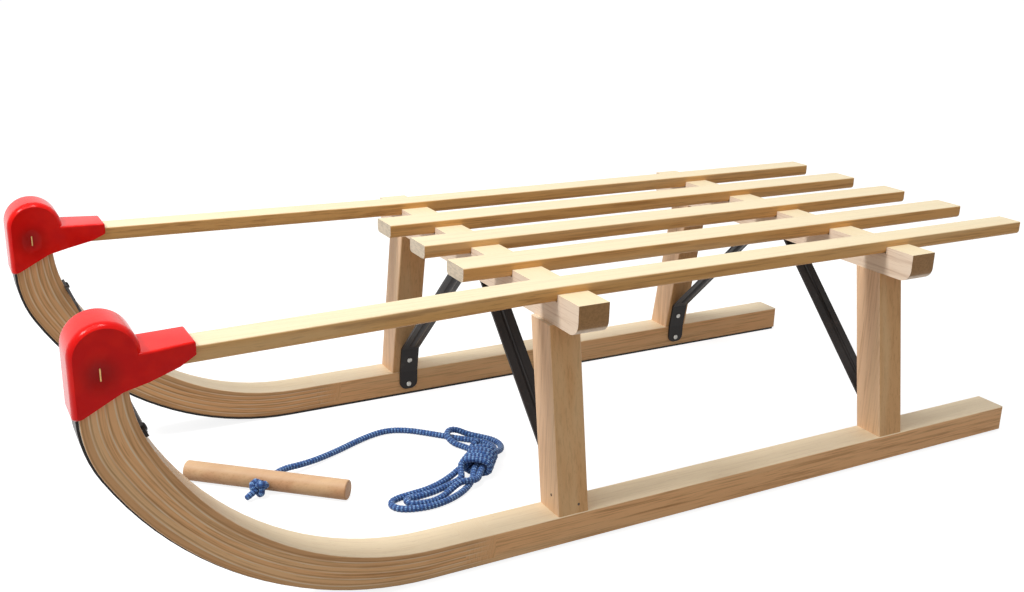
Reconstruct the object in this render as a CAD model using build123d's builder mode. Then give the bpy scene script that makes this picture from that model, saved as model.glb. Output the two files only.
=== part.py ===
"""Slatted wooden sled with bent laminated runners, five slats and two horn caps.

Millimetres. +X points to the horns, +Y to the left, +Z up. The origin is on the ground,
midway between the horns and the slat tails.
"""
from build123d import *
import math
import os

os.makedirs("parts", exist_ok=True)

# Overall stand
LENGTH = 1000.0
WIDTH = 440.0
SEAT_Z = 240.0

# Bearers: the two cross bars under the slats
BEARER_FRONT_SETBACK = 419.0
BEARER_REAR_SETBACK = 188.0
BEARER_THICK = 31.0
BEARER_DEPTH = 29.0
BEARER_END_RADIUS = 13.0
BEARER_OVERHANG = 27.0
HOUSING_DEPTH = 7.0

# Slats, and the rails that run on into the horn caps
SLAT_THICK = 14.0
SLAT_WIDTH = 35.0
SLAT_NOSE = 66.0
SLAT_LOWER_ROUND = 4.5
SLAT_UPPER_ROUND = 1.5
RAIL_WIDTH = 29.0
RAIL_INSET = 23.0
RAIL_TIP_SETBACK = 14.0
RAIL_BEND_AHEAD = 32.0
RAIL_BEND_RADIUS = 600.0
RAIL_SPLAY_DEG = 3.0

# Runners and their steel shoes
RUNNER_WIDTH = 35.0
RUNNER_TOP_Z = 30.0
RUNNER_TAIL_SETBACK = 11.0
RUNNER_EDGE_ROUND = 1.5
HORN_THICK = 34.5
BEND_LOWER_RADIUS = 293.0
BEND_LOWER_DEG = 60.5
NOSE_RADIUS = 100.0
BEND_UPPER_RADIUS = 255.0
BEND_UPPER_DEG = 63.0
NECK_RADIUS = 125.0
SHOE_THICK = 2.0
SHOE_WIDTH = 24.0
SHOE_INSET = 3.0

# Posts: they lean inwards from the runner to the bearer
POST_THICK = 32.0
POST_WIDTH = 34.0
POST_TOP_INSET = 29.5
POST_AHEAD = {"front": 4.0, "rear": 0.0}
POST_EDGE_ROUND = 2.0

# Horn caps, each a moulding over the horn and the end of the rail
CAP_WALL = 2.5
CAP_ROOF = 5.0
CAP_WIDTH = 43.0
CAP_INSET = 1.3
CAP_DOME_RADIUS = 25.0
CAP_DROP = 46.0
CAP_HEEL_SETBACK = 35.0
CAP_HEEL_DROP = 27.0
CAP_WAIST_SETBACK = 53.0
CAP_ARM_LENGTH = 89.0
CAP_ARM_WIDTH = 38.0
CAP_ARM_DEPTH = 10.0
CAP_ARM_CHAMFER = 13.0
CAP_RIM_ROUND = 10.0
CAP_RIM_CUT = 2.5
CAP_ARM_ROUND = 2.0

# Braces of pressed steel from the runner's foot to the bearer
BRACE_WIDTH = 22.0
BRACE_FOOT_RADIUS = 8.5
BRACE_THICK = 2.5
BRACE_FOOT_Z = 8.0
BRACE_BEND_RISE = 31.0
BRACE_TOP_Y = 29.0
BRACE_TAB = 22.0
BEAD_RADIUS = 5.0
BEAD_SETBACK = 12.0

# Steel bow across the back of the horns
STRAP_ON_NECK = 0.17
STRAP_HEIGHT = 10.0
STRAP_THICK = 2.5
STRAP_OVERHANG = 3.0
STRAP_SHOULDER = 3.0
STRAP_DIP = 16.0

# Pull rope, a limp braided cord knotted through a wooden handle, laid on the ground
ROPE_X = 215.0
ROPE_Y = -20.0
ROPE_TURN_DEG = 151.0
ROPE_RADIUS = 3.5
HANDLE_LENGTH = 170.0
HANDLE_RADIUS = 10.0
HANDLE_HOLE_RADIUS = 4.0
HANDLE_EDGE_ROUND = 1.5
HANDLE_PLACE = (-74.0, -49.0)
HANDLE_SKEW_DEG = -math.degrees(math.atan(1 / 5))
KNOT_RADIUS = 8.5
KNOT_SINK = 1.5
ROPE_ROUTE = [
    (-77, -64, 10),
    (-70, -29, 10),
    (-43, -2, 5.5),
    (-19, 30, 3.5),
    (5, 65, 3.5),
    (27, 87, 3.5),
    (50, 90, 3.5),
    (73, 84, 3.5),
    (100, 75, 3.5),
]
HANK_WRAP_PLACE = (134.5, 3.0)
HANK_WRAP_DEG = 77.5
HANK_WRAP_LENGTH = 40.0
HANK_WRAP_HEIGHT = 24.0
HANK_WRAP_WIDTHS = (37.0, 31.0)
HANK_LOOP_HEIGHT = 8.0
HANK_UPPER_LOOP = [(104, 73, 10), (143, 62, 15), (148, 40, 12), (131, 24, 8), (144, 18, 8)]
HANK_LOWER_LOOP = [(63, -75, 11), (98, -65, 15), (112, -42, 11), (121, -18, 9)]

front_x = LENGTH / 2
tail_x = -LENGTH / 2
slat_z = SEAT_Z - SLAT_THICK
bearer_top_z = slat_z + HOUSING_DEPTH
bearer_bottom_z = bearer_top_z - BEARER_DEPTH
bearer_front_x = front_x - BEARER_FRONT_SETBACK
bearer_places = {"front": bearer_front_x, "rear": tail_x + BEARER_REAR_SETBACK}
runner_y = WIDTH / 2 - BEARER_OVERHANG
runner_inner_y = runner_y - RUNNER_WIDTH / 2
rail_y = runner_y - RAIL_INSET
slat_places = {"slat_left": rail_y / 2, "slat_center": 0.0, "slat_right": -rail_y / 2}
rail_bend_x = bearer_front_x + RAIL_BEND_AHEAD
rail_tip_x = front_x - RAIL_TIP_SETBACK
splay = math.tan(math.radians(RAIL_SPLAY_DEG))
post_foot_y = runner_inner_y + POST_WIDTH / 2
post_top_y = runner_y - POST_TOP_INSET
nose_x = front_x - CAP_WALL - SHOE_THICK
cap_y = runner_y - CAP_INSET
cap_roof_z = SEAT_Z + CAP_ROOF
cap_tip_z = cap_roof_z - CAP_DROP
cap_arm_x = front_x - CAP_ARM_LENGTH


def write(builder, label):
    """Label a finished piece and write its STEP file."""
    builder.part.label = label
    export_step(builder.part, f"parts/{label}.step")


def write_pair(builder, label):
    """Write a left-hand piece and its mirror image on the right."""
    write(builder, f"{label}_left")
    with BuildPart() as twin:
        mirror(builder.part, about=Plane.XZ)
    write(twin, f"{label}_right")


# ---------------------------------------------------------------- runners
def bent_edge(start_x, low_z, first_radius, first_deg, second_radius, end_x):
    """A runner's edge: flat, bent up by two arcs to stand at end_x, then upright."""
    share = math.sin(math.radians(first_deg))
    bend_x = end_x - first_radius * share - second_radius * (1 - share)
    flat = Line((start_x, low_z), (bend_x, low_z))
    bend = JernArc(flat @ 1, flat % 1, first_radius, first_deg)
    turn = JernArc(bend @ 1, bend % 1, second_radius, 90 - first_deg)
    upright = Line(turn @ 1, (end_x, LENGTH))
    return flat @ 0, turn, upright @ 1


def lower_edge(start_x, growth):
    """Underside of the wood, or of what lies under it at a distance of growth."""
    return bent_edge(
        start_x,
        SHOE_THICK - growth,
        BEND_LOWER_RADIUS + growth,
        BEND_LOWER_DEG,
        NOSE_RADIUS + growth,
        nose_x + growth,
    )


runner_tail_x = tail_x + RUNNER_TAIL_SETBACK
neck_x = nose_x - HORN_THICK
with BuildPart() as runner_left:
    with BuildSketch(Plane.XZ.offset(-runner_y)):
        with BuildLine():
            tail_bottom, _, nose_top = lower_edge(runner_tail_x, 0)
            tail_top, neck, neck_top = bent_edge(
                runner_tail_x, RUNNER_TOP_Z, BEND_UPPER_RADIUS, BEND_UPPER_DEG, NECK_RADIUS, neck_x
            )
            Line(tail_bottom, tail_top)
            Line(nose_top, neck_top)
        make_face()
    extrude(amount=RUNNER_WIDTH / 2, both=True)
    split(bisect_by=Plane.XY.offset(slat_z), keep=Keep.BOTTOM)
    side_edges = runner_left.faces().filter_by(Axis.Y).edges()
    fillet(side_edges.filter_by(lambda e: e.center().Z < slat_z - 1), RUNNER_EDGE_ROUND)
write_pair(runner_left, "runner")

with BuildPart() as shoe_left:
    with BuildSketch(Plane.XZ.offset(-runner_y)):
        with BuildLine():
            wood_tail, _, wood_top = lower_edge(runner_tail_x + SHOE_INSET, 0)
            ground_tail, _, ground_top = lower_edge(runner_tail_x + SHOE_INSET, SHOE_THICK)
            Line(wood_tail, ground_tail)
            Line(wood_top, ground_top)
        make_face()
    extrude(amount=SHOE_WIDTH / 2, both=True)
    split(bisect_by=Plane.XY.offset(slat_z), keep=Keep.BOTTOM)
write_pair(shoe_left, "runner_shoe")

# ---------------------------------------------------------------- posts
for bearer_name, bearer_x in bearer_places.items():
    with BuildPart() as post_left:
        with BuildSketch(Plane.YZ.offset(bearer_x + POST_AHEAD[bearer_name])):
            with BuildLine():
                Polyline(
                    (post_foot_y - POST_WIDTH / 2, RUNNER_TOP_Z),
                    (post_foot_y + POST_WIDTH / 2, RUNNER_TOP_Z),
                    (post_top_y + POST_WIDTH / 2, bearer_bottom_z),
                    (post_top_y - POST_WIDTH / 2, bearer_bottom_z),
                    close=True,
                )
            make_face()
        extrude(amount=POST_THICK / 2, both=True)
        uprights = post_left.edges().filter_by(lambda e: abs((e % 0.5).Z) > 0.9)
        fillet(uprights, POST_EDGE_ROUND)
    write_pair(post_left, f"post_{bearer_name}")


# ---------------------------------------------------------------- slats and rails
def slat_section(width):
    """Section of a slat: eased edges above, rounder edges below."""
    outline = Rectangle(width, SLAT_THICK)
    fillet(outline.vertices().group_by(Axis.Y)[0], SLAT_LOWER_ROUND)
    corners = vertices().group_by(Axis.Y)[-1]
    fillet(corners, SLAT_UPPER_ROUND)


def tail_plane(y):
    """Plane across a slat's tail, its own x along +Y and its own y along +Z."""
    return Plane(origin=(tail_x, y, slat_z + SLAT_THICK / 2), x_dir=(0, 1, 0), z_dir=(1, 0, 0))


for slat_name, slat_y in slat_places.items():
    with BuildPart() as slat:
        with BuildSketch(tail_plane(slat_y)):
            slat_section(SLAT_WIDTH)
        extrude(amount=bearer_front_x + SLAT_NOSE - tail_x)
    write(slat, slat_name)

with BuildPart() as rail_left:
    with BuildLine(Plane.XY.offset(slat_z + SLAT_THICK / 2)):
        rail_tip = (rail_tip_x, rail_y + (rail_tip_x - rail_bend_x) * splay)
        FilletPolyline((tail_x, rail_y), (rail_bend_x, rail_y), rail_tip, radius=RAIL_BEND_RADIUS)
    with BuildSketch(tail_plane(rail_y)):
        slat_section(RAIL_WIDTH)
    sweep()
write_pair(rail_left, "rail")

# ---------------------------------------------------------------- bearers
for bearer_name, bearer_x in bearer_places.items():
    with BuildPart() as bearer:
        with BuildSketch(Plane.YZ.offset(bearer_x)):
            with Locations((0, (bearer_bottom_z + bearer_top_z) / 2)):
                bar = Rectangle(WIDTH, BEARER_DEPTH)
            fillet(bar.vertices().group_by(Axis.Y)[0], BEARER_END_RADIUS)
            with Locations(*[(y, bearer_top_z) for y in slat_places.values()]):
                Rectangle(SLAT_WIDTH, 2 * HOUSING_DEPTH, mode=Mode.SUBTRACT)
            with Locations((rail_y, bearer_top_z), (-rail_y, bearer_top_z)):
                Rectangle(RAIL_WIDTH, 2 * HOUSING_DEPTH, mode=Mode.SUBTRACT)
        extrude(amount=BEARER_THICK / 2, both=True)
    write(bearer, f"bearer_{bearer_name}")


# ---------------------------------------------------------------- horn caps
def cap_plan(wall):
    """Plan of a cap: parallel sides at the horn, then an arm that follows the rail."""
    arm_y = rail_y + (cap_arm_x - rail_bend_x) * splay
    inner = cap_y - CAP_WIDTH / 2 + wall
    outer = cap_y + CAP_WIDTH / 2 - wall
    arm_half = CAP_ARM_WIDTH / 2 - wall
    Polyline(
        (front_x, inner),
        (front_x, outer),
        (front_x - CAP_WAIST_SETBACK, outer),
        (cap_arm_x, arm_y + arm_half),
        (cap_arm_x, arm_y - arm_half),
        (front_x - CAP_WAIST_SETBACK, inner),
        close=True,
    )


dome_x = front_x - CAP_DOME_RADIUS
with BuildPart() as cap_hollow:
    with BuildSketch(Plane.XZ.offset(-cap_y)):
        hollow_height = CAP_DROP + CAP_DOME_RADIUS
        with Locations((dome_x, cap_roof_z)):
            Circle(CAP_DOME_RADIUS - CAP_WALL)
            Rectangle(2 * (CAP_DOME_RADIUS - CAP_WALL), hollow_height, align=(Align.CENTER, Align.MAX))
        with Locations((dome_x, SEAT_Z)):
            Rectangle(CAP_ARM_LENGTH, hollow_height, align=(Align.MAX, Align.MAX))
    extrude(amount=CAP_WIDTH, both=True)
    with BuildSketch(Plane.XY.offset(cap_tip_z - CAP_DOME_RADIUS)):
        with BuildLine():
            cap_plan(CAP_WALL)
        make_face()
    extrude(amount=LENGTH, mode=Mode.INTERSECT)

arm_end_z = cap_roof_z - CAP_ARM_DEPTH
arm_chamfer = Vector(cap_arm_x + CAP_ARM_CHAMFER, arm_end_z - CAP_ARM_CHAMFER / 2)
heel = Vector(front_x - CAP_HEEL_SETBACK, cap_roof_z - CAP_HEEL_DROP)
with BuildPart() as cap_arm:
    with BuildSketch(Plane.XZ.offset(-cap_y)):
        with BuildLine():
            Polyline(
                (heel.X, cap_roof_z),
                (cap_arm_x, cap_roof_z),
                (cap_arm_x, arm_end_z),
                arm_chamfer,
                heel,
                close=True,
            )
        make_face()
    extrude(amount=CAP_WIDTH, both=True)
    with BuildSketch(Plane.XY.offset(cap_tip_z)):
        with BuildLine():
            cap_plan(0)
        make_face()
    extrude(amount=LENGTH, mode=Mode.INTERSECT)
    end_edges = cap_arm.edges().filter_by(Axis.Z).group_by(Axis.X)[0]
    roof_edges = cap_arm.faces().sort_by(Axis.Z)[-1].edges()
    fillet(end_edges + roof_edges.sort_by(Axis.X)[:-1], CAP_ARM_ROUND)

dome_end_x = dome_x - CAP_DOME_RADIUS
under_dome = heel + (arm_chamfer - heel) * ((heel.X - dome_end_x) / (heel.X - arm_chamfer.X))
with BuildPart() as cap_left:
    with BuildSketch(Plane.XZ.offset(-cap_y)):
        with BuildLine():
            dome = ThreePointArc(
                (front_x, cap_roof_z),
                (dome_x, cap_roof_z + CAP_DOME_RADIUS),
                (dome_end_x, cap_roof_z),
            )
            Polyline(dome @ 1, under_dome, heel, (front_x, cap_tip_z), dome @ 0)
        make_face()
    extrude(amount=CAP_WIDTH / 2 + CAP_RIM_CUT, both=True)
    dome_edges = cap_left.edges().filter_by(GeomType.CIRCLE)
    nose_edges = cap_left.edges().filter_by(Axis.Z).group_by(Axis.X)[-1]
    fillet(dome_edges + nose_edges, CAP_RIM_ROUND)
    split(bisect_by=Plane.XZ.offset(-cap_y - CAP_WIDTH / 2), keep=Keep.TOP)
    split(bisect_by=Plane.XZ.offset(-cap_y + CAP_WIDTH / 2), keep=Keep.BOTTOM)
    fillet(cap_left.edges().filter_by(Axis.Y).group_by(Axis.Z)[0], CAP_ARM_ROUND)
    add(cap_arm.part)
    add(cap_hollow.part, mode=Mode.SUBTRACT)
write_pair(cap_left, "horn_cap")

# ---------------------------------------------------------------- braces
lean = (post_foot_y - post_top_y) / (bearer_bottom_z - RUNNER_TOP_Z)
brace_bend_z = RUNNER_TOP_Z + BRACE_BEND_RISE
brace_knee = Vector(0, runner_inner_y - lean * BRACE_BEND_RISE, brace_bend_z)
brace_head = Vector(0, BRACE_TOP_Y, bearer_bottom_z)
brace_rise = (brace_head - brace_knee).normalized()
bead_length = (brace_head - brace_knee).length - 2 * BEAD_SETBACK


def bead_section(radius):
    """Lower half of a disc: the pressed bead, or the groove on its back."""
    Circle(radius)
    Rectangle(2 * radius, radius, align=(Align.CENTER, Align.MIN), mode=Mode.SUBTRACT)


for bearer_name, bearer_x in bearer_places.items():
    across = Vector(bearer_x, 0, 0)
    bead_plane = Plane(
        origin=brace_knee + brace_rise * BEAD_SETBACK + across, x_dir=(1, 0, 0), z_dir=brace_rise
    )
    with BuildPart() as brace_left:
        with BuildSketch(Plane.YZ.offset(bearer_x)):
            with BuildLine():
                Polyline(
                    (runner_inner_y, BRACE_FOOT_Z),
                    (runner_inner_y, RUNNER_TOP_Z),
                    (brace_knee.Y, brace_knee.Z),
                    (brace_head.Y, brace_head.Z),
                    (brace_head.Y - BRACE_TAB, brace_head.Z),
                )
                offset(amount=BRACE_THICK, side=Side.LEFT, kind=Kind.INTERSECTION)
            make_face()
        extrude(amount=BRACE_WIDTH / 2, both=True)
        foot_corners = brace_left.edges().filter_by(Axis.Y).group_by(Axis.Z)[0]
        fillet(foot_corners, BRACE_FOOT_RADIUS)
        with BuildSketch(bead_plane):
            bead_section(BEAD_RADIUS)
        extrude(amount=bead_length)
        with BuildSketch(bead_plane):
            bead_section(BEAD_RADIUS - BRACE_THICK)
        extrude(amount=bead_length, mode=Mode.SUBTRACT)
    write_pair(brace_left, f"brace_{bearer_name}")

# ---------------------------------------------------------------- front strap
strap_seat = neck @ STRAP_ON_NECK
strap_slope = neck % STRAP_ON_NECK
strap_out = Vector(-strap_slope.Y, 0, strap_slope.X)
strap_lift = NECK_RADIUS - math.sqrt(NECK_RADIUS**2 - STRAP_HEIGHT**2 / 4)
strap_plane = Plane(origin=(strap_seat.X, 0, strap_seat.Y), x_dir=(0, 1, 0), z_dir=strap_out)
strap_end = runner_y + STRAP_OVERHANG
strap_shoulder = runner_inner_y - STRAP_SHOULDER
with BuildPart() as front_strap:
    with BuildSketch(strap_plane.offset(strap_lift)):
        with BuildLine():
            Polyline(
                (-strap_end, 0),
                (-strap_shoulder, 0),
                (-strap_shoulder + STRAP_DIP, STRAP_DIP),
                (strap_shoulder - STRAP_DIP, STRAP_DIP),
                (strap_shoulder, 0),
                (strap_end, 0),
            )
            offset(amount=STRAP_HEIGHT / 2, side=Side.BOTH)
        make_face()
    extrude(amount=STRAP_THICK)
write(front_strap, "front_strap")

# ---------------------------------------------------------------- pull rope
rope_place = Location((ROPE_X, ROPE_Y, 0), (0, 0, ROPE_TURN_DEG))
handle_place = rope_place * Location((*HANDLE_PLACE, HANDLE_RADIUS), (0, 0, HANDLE_SKEW_DEG))
with BuildPart(Plane(handle_place)) as pull_handle:
    Cylinder(HANDLE_RADIUS, HANDLE_LENGTH, rotation=(0, 90, 0))
    fillet(pull_handle.edges().filter_by(GeomType.CIRCLE), HANDLE_EDGE_ROUND)
    Cylinder(HANDLE_HOLE_RADIUS, 3 * HANDLE_RADIUS, rotation=(90, 0, 0), mode=Mode.SUBTRACT)
write(pull_handle, "pull_handle")

with BuildPart() as rope_knot:
    with Locations(handle_place * Location((0, KNOT_SINK - HANDLE_RADIUS - KNOT_RADIUS, 0))):
        Sphere(KNOT_RADIUS)
    add(pull_handle.part, mode=Mode.SUBTRACT)
write(rope_knot, "rope_knot")

wrap_start = Location((*HANK_WRAP_PLACE, HANK_WRAP_HEIGHT / 2), (0, 0, HANK_WRAP_DEG))
wrap_middle = Plane(rope_place * wrap_start)
with BuildPart() as rope_hank:
    for loop in (HANK_UPPER_LOOP, HANK_LOWER_LOOP):
        with BuildSketch(Plane(rope_place)):
            for loop_x, loop_y, loop_radius in loop:
                with Locations((loop_x, loop_y)):
                    Circle(loop_radius)
            make_hull()
        extrude(amount=HANK_LOOP_HEIGHT)
    for side, wrap_width in zip((-1, 1), HANK_WRAP_WIDTHS):
        wrap_end = wrap_middle.origin + wrap_middle.x_dir * side * HANK_WRAP_LENGTH / 2
        with BuildSketch(Plane(origin=wrap_end, x_dir=wrap_middle.y_dir, z_dir=wrap_middle.x_dir)):
            Ellipse(wrap_width / 2, HANK_WRAP_HEIGHT / 2)
    loft()
write(rope_hank, "rope_hank")


def turn_radii(points, share=0.45):
    """Radius at each corner, as large as its shorter run allows."""
    radii = []
    for before, corner, after in zip(points, points[1:], points[2:]):
        run_in = Vector(corner) - Vector(before)
        run_out = Vector(after) - Vector(corner)
        half_turn = math.radians(run_in.get_angle(run_out) / 2)
        radii.append(share * min(run_in.length, run_out.length) / math.tan(half_turn))
    return radii


rope_radii = turn_radii(ROPE_ROUTE)
with BuildPart() as pull_rope:
    with BuildLine(Plane(rope_place)) as rope_path:
        FilletPolyline(*ROPE_ROUTE, radius=rope_radii)
    with BuildSketch(Plane(origin=rope_path.line @ 0, z_dir=rope_path.line % 0)):
        Circle(ROPE_RADIUS)
    sweep()
    swept_volume = pull_rope.part.volume
    add(rope_knot.part, mode=Mode.SUBTRACT)
    add(rope_hank.part, mode=Mode.SUBTRACT)
write(pull_rope, "pull_rope")
tube_length = rope_path.wires()[0].length
volume_ratio = swept_volume / (math.pi * ROPE_RADIUS**2 * tube_length)
print("rope radii", [round(radius, 1) for radius in rope_radii])
print(f"rope tube {tube_length:.1f} mm, volume over section times length {volume_ratio:.4f}")
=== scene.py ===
"""Looks of the wooden sled: camera, rope, small fittings, materials, floor and light.

Metres, in the CAD frame: +X to the horns, +Y to the sled's left, +Z up.
"""

import math

import bpy
import bmesh
from mathutils import Matrix, Vector


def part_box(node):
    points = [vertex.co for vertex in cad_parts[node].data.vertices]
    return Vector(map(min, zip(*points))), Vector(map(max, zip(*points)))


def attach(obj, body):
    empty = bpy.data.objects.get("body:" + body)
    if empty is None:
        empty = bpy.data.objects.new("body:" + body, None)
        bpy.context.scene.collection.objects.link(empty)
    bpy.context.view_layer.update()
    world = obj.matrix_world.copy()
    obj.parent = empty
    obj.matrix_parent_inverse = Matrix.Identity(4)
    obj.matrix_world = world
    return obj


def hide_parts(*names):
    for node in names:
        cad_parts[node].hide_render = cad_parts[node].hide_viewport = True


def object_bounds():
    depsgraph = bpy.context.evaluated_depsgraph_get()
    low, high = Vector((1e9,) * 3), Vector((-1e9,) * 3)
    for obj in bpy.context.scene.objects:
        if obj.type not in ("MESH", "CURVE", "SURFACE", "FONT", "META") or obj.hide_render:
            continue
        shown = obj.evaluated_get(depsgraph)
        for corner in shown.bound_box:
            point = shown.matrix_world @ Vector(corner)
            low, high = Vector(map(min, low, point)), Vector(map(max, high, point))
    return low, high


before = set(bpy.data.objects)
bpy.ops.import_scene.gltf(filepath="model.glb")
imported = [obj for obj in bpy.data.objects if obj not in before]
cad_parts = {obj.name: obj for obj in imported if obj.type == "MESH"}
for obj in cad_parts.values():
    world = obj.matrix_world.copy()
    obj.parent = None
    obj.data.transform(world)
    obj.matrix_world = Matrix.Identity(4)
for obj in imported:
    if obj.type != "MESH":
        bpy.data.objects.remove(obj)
cad_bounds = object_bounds()

SIDES = ("left", "right")
ENDS = ("front", "rear")
WHITE = (1.0, 1.0, 1.0, 1.0)
# A vertex or face nearer than this to a plane counts as lying on it.
ON_PLANE = 1e-4
# Vertices nearer than this are one.
MERGE_GAP = 1e-6
# Stands in for a length of zero where a division needs one.
SHORTEST = 1e-9

# ------------------------------------------------------------------ camera
CAMERA_AT = Vector((0.5811, 0.9771, 0.5299))
CAMERA_LOOK = Vector((-0.46161, -0.83236, -0.30675))
CAMERA_ROLL_DEG = 1.55
CAMERA_LENS_MM = 39.583
CAMERA_SENSOR_MM = 36.0
CAMERA_SEES_TO = 100.0


def make_camera():
    """The camera of the product view: front left, a little above the seat."""
    data = bpy.data.cameras.new("camera")
    data.sensor_width = CAMERA_SENSOR_MM
    data.lens = CAMERA_LENS_MM
    data.clip_end = CAMERA_SEES_TO
    camera = bpy.data.objects.new("camera", data)
    bpy.context.scene.collection.objects.link(camera)
    turn = CAMERA_LOOK.to_track_quat("-Z", "Y").to_matrix().to_4x4()
    roll = Matrix.Rotation(math.radians(CAMERA_ROLL_DEG), 4, "Z")
    camera.matrix_world = Matrix.Translation(CAMERA_AT) @ turn @ roll
    bpy.context.scene.camera = camera


make_camera()

# ------------------------------------------------------------------ node helpers
# Places of the colour sockets on a Mix node, whose sockets share their names.
MIX_COLOUR_INPUTS = (6, 7)
MIX_COLOUR_OUTPUT = 2


class Graph:
    """A material's node tree, with short ways to make and join nodes."""

    def __init__(self, name):
        self.material = bpy.data.materials.new(name)
        self.material.use_nodes = True
        self.tree = self.material.node_tree
        self.shader = self.tree.nodes["Principled BSDF"]

    def node(self, kind, **settings):
        """A new node with the given settings."""
        made = self.tree.nodes.new(kind)
        for key, value in settings.items():
            setattr(made, key, value)
        return made

    def put(self, socket, value):
        """Link another node's output to a socket, or set its value."""
        if isinstance(value, bpy.types.NodeSocket):
            self.tree.links.new(value, socket)
        else:
            socket.default_value = value

    def surface(self, **values):
        """Set the shader's sockets; an underscore stands for a space in a name."""
        for name, value in values.items():
            self.put(self.shader.inputs[name.replace("_", " ")], value)

    def math(self, operation, first, second=0.0):
        made = self.node("ShaderNodeMath", operation=operation)
        self.put(made.inputs[0], first)
        self.put(made.inputs[1], second)
        return made.outputs[0]

    def plus(self, first, second):
        return self.math("ADD", first, second)

    def minus(self, first, second):
        return self.math("SUBTRACT", first, second)

    def times(self, first, second):
        return self.math("MULTIPLY", first, second)

    def absolute(self, value):
        return self.math("ABSOLUTE", value)

    def hypot(self, first, second):
        """The distance that two lengths at a right angle span."""
        return self.math("SQRT", self.plus(self.times(first, first), self.times(second, second)))

    def choose(self, past, near, far):
        """The near value where past is 0, the far value where it is 1."""
        return self.plus(near, self.times(past, self.minus(far, near)))

    def position(self):
        """The place on the object."""
        return self.node("ShaderNodeTexCoord").outputs["Object"]

    def parts(self, vector):
        """The x, y and z of a vector."""
        split = self.node("ShaderNodeSeparateXYZ")
        self.put(split.inputs[0], vector)
        return split.outputs[0], split.outputs[1], split.outputs[2]

    def facing(self):
        """The x, y and z of the surface's normal."""
        return self.parts(self.node("ShaderNodeNewGeometry").outputs["Normal"])

    def combine(self, x, y, z):
        made = self.node("ShaderNodeCombineXYZ")
        for socket, value in zip(made.inputs, (x, y, z)):
            self.put(socket, value)
        return made.outputs[0]

    def stretch(self, vector, scale):
        made = self.node("ShaderNodeMapping")
        self.put(made.inputs["Vector"], vector)
        made.inputs["Scale"].default_value = scale
        return made.outputs[0]

    def noise(self, vector, detail, roughness=0.5, scale=1.0):
        made = self.node("ShaderNodeTexNoise")
        self.put(made.inputs["Vector"], vector)
        made.inputs["Scale"].default_value = scale
        made.inputs["Detail"].default_value = detail
        made.inputs["Roughness"].default_value = roughness
        return made.outputs["Fac"]

    def span(self, value, low, high, to_low=0.0, to_high=1.0):
        """Value mapped smoothly from low..high to to_low..to_high."""
        made = self.node("ShaderNodeMapRange", interpolation_type="SMOOTHSTEP")
        for socket, number in zip(made.inputs, (value, low, high, to_low, to_high)):
            self.put(socket, number)
        return made.outputs[0]

    def blend(self, factor, first, second):
        """The first colour where factor is 0, the second where it is 1."""
        made = self.node("ShaderNodeMix", data_type="RGBA", blend_type="MIX")
        self.put(made.inputs["Factor"], factor)
        for index, colour in zip(MIX_COLOUR_INPUTS, (first, second)):
            linked = isinstance(colour, bpy.types.NodeSocket)
            self.put(made.inputs[index], colour if linked else (*colour, 1.0))
        return made.outputs[MIX_COLOUR_OUTPUT]

    def bump(self, height, distance, strength):
        made = self.node("ShaderNodeBump")
        self.put(made.inputs["Height"], height)
        made.inputs["Distance"].default_value = distance
        made.inputs["Strength"].default_value = strength
        self.put(self.shader.inputs["Normal"], made.outputs[0])


# ------------------------------------------------------------------ mesh helpers
SHARP_ANGLE = math.radians(28.0)
NURBS_ORDER = 3
# The middle of a noise's range, over which a surface's roughness changes.
NOISE_MIDDLE = (0.3, 0.7)


def add_piece(name, mesh):
    """A mesh object that rides on the sled."""
    piece = bpy.data.objects.new(name, mesh)
    bpy.context.scene.collection.objects.link(piece)
    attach(piece, "root")
    return piece


def add_drawn(name, bm):
    """The piece that a bmesh holds; the bmesh is freed."""
    mesh = bpy.data.meshes.new(name)
    bm.to_mesh(mesh)
    bm.free()
    return add_piece(name, mesh)


def shade_smooth(mesh):
    """Smooth shading that keeps the real edges crisp."""
    mesh.shade_smooth()
    mesh.set_sharp_from_angle(angle=SHARP_ANGLE)


def nurbs_path(name, points, place, samples):
    """Points along a smooth NURBS spline with the given control points."""
    curve = bpy.data.curves.new(name, "CURVE")
    curve.dimensions = "3D"
    spline = curve.splines.new("NURBS")
    spline.points.add(len(points) - 1)
    for target, point in zip(spline.points, points):
        target.co = (*(place @ Vector(point)), 1.0)
    spline.order_u = NURBS_ORDER
    spline.use_endpoint_u = True
    spline.resolution_u = samples
    carrier = bpy.data.objects.new(name, curve)
    bpy.context.scene.collection.objects.link(carrier)
    bpy.context.view_layer.update()
    mesh = bpy.data.meshes.new_from_object(carrier)
    path = [vertex.co.copy() for vertex in mesh.vertices]
    bpy.data.objects.remove(carrier)
    bpy.data.curves.remove(curve)
    bpy.data.meshes.remove(mesh)
    return path


def even_steps(path, step):
    """The path's line walked in equal steps, and its length."""
    lengths = [0.0]
    for first, second in zip(path, path[1:]):
        lengths.append(lengths[-1] + (second - first).length)
    count = max(2, round(lengths[-1] / step))
    walked = []
    at = 0
    for index in range(count + 1):
        goal = lengths[-1] * index / count
        while at < len(path) - 2 and lengths[at + 1] < goal:
            at += 1
        run = max(lengths[at + 1] - lengths[at], SHORTEST)
        walked.append(path[at].lerp(path[at + 1], (goal - lengths[at]) / run))
    return walked, lengths[-1]


def across_line(line):
    """Each point of a line, with two directions across it that don't twist."""
    side = None
    for index, point in enumerate(line):
        ahead = (line[min(index + 1, len(line) - 1)] - line[max(index - 1, 0)]).normalized()
        if side is None:
            side = ahead.orthogonal().normalized()
        side = (side - ahead * side.dot(ahead)).normalized()
        yield point, side, ahead.cross(side)


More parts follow.
